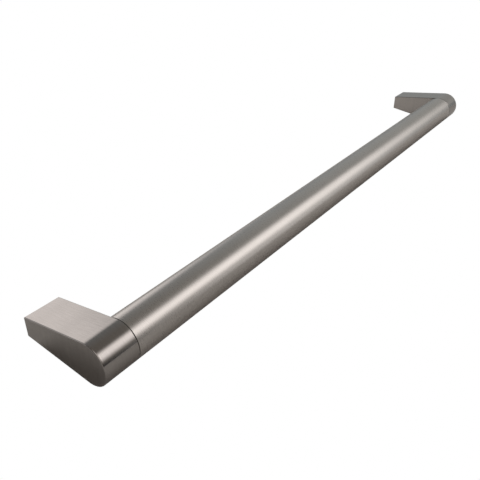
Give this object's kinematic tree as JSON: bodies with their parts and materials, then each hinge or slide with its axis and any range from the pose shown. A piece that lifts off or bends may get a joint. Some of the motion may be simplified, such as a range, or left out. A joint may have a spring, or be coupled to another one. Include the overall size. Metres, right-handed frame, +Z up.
{
  "type": "furniture pull handle",
  "caption": "Long round-bar pull handle in satin nickel, carried by teardrop-shaped cast feet, each with a blind tapped hole for a screw through the door.",
  "frame": {"origin": "midway between the two fixing holes, on the mounting plane that meets the door", "axes": "+X along the bar, +Y out of the mounting faces into the door, so the grip stands off towards -Y, +Z up"},
  "size_m": [0.268, 0.0327, 0.0138],
  "materials": {
    "brushed_bar": "satin nickel on steel, fine grain round the bar",
    "brushed_foot": "satin nickel on cast zinc, fine brushed grain"
  },
  "bodies": {
    "root": {"bar_tube": "brushed_bar", "left_foot": "brushed_foot", "right_foot": "brushed_foot"}
  },
  "joints": []
}
